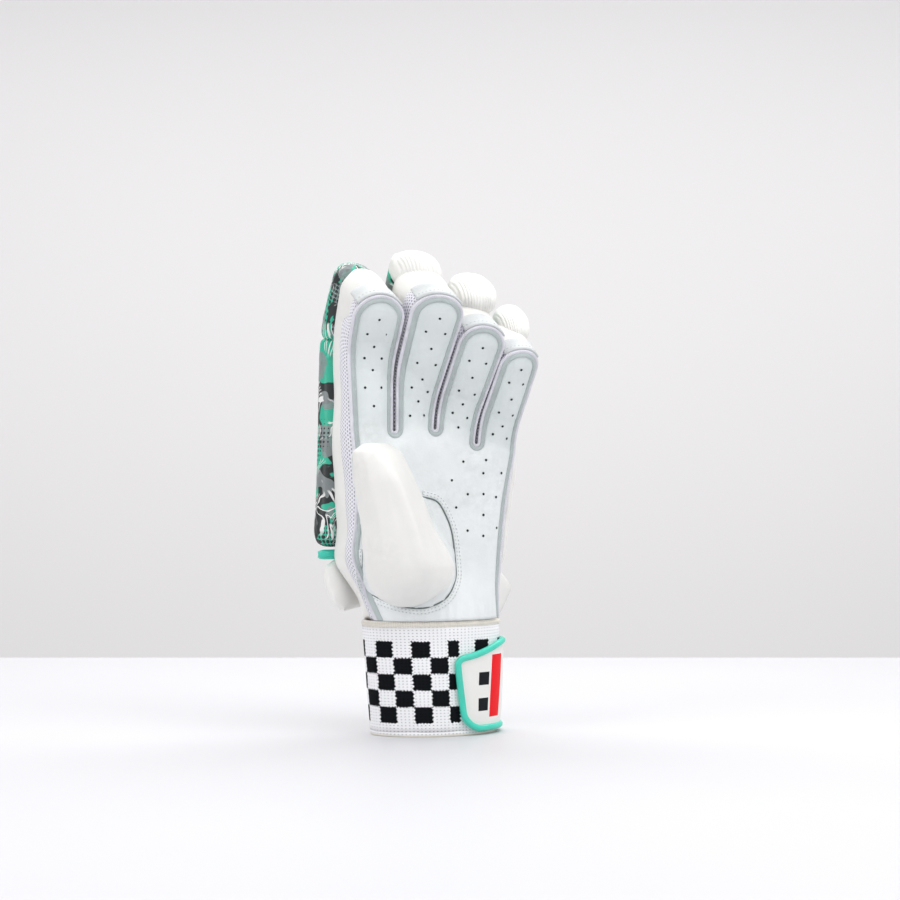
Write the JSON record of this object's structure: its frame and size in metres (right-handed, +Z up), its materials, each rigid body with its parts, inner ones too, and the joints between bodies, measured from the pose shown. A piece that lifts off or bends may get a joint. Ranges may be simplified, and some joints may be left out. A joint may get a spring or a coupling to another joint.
{
  "type": "cricket batting glove",
  "caption": "Left-hand cricket batting glove with leather palm, mesh gussets, padded finger rolls, thumb guard, knitted cuff and closing strap.",
  "frame": {"origin": "middle of the bounding box, on the surface that the cuff stands on", "axes": "+Z up from the cuff to the fingertips, palm facing -Y, thumb side towards -X"},
  "size_m": [0.1322, 0.1016, 0.3137],
  "materials": {
    "leather": "soft, fine-grained leather",
    "mesh": "open knitted mesh",
    "white": "smooth coated leather",
    "print": "smooth coated leather with a print",
    "knit": "ribbed elastic knit",
    "cream": "woven tape",
    "teal": "smooth piping"
  },
  "bodies": {
    "root": {"back_piping": "teal", "back_sheet": "white", "cuff_band": "knit", "cuff_hem": "cream", "cuff_tape": "cream", "gusset_index_middle": "mesh", "gusset_middle_ring": "mesh", "gusset_ring_little": "mesh", "lower_roll_index": "print", "lower_roll_little": "print", "lower_roll_middle": "print", "lower_roll_ring": "print", "palm_leather": "leather", "rim_gusset_index_middle": "white", "rim_gusset_middle_ring": "white", "rim_gusset_ring_little": "white", "rim_side_index": "white", "rim_side_little": "white", "rim_tip_index": "white", "rim_tip_little": "white", "rim_tip_middle": "white", "rim_tip_ring": "white", "side_mesh_index": "mesh", "side_mesh_little": "mesh", "side_roll": "white", "strap": "white", "strap_piping": "teal", "thumb_guard": "white", "thumb_leather": "leather", "tip_roll_index": "print", "tip_roll_little": "white", "tip_roll_middle": "white", "tip_roll_ring": "white", "tip_tab_index": "leather", "tip_tab_little": "leather", "tip_tab_middle": "leather", "tip_tab_ring": "leather", "wrist_roll": "white"}
  },
  "joints": []
}
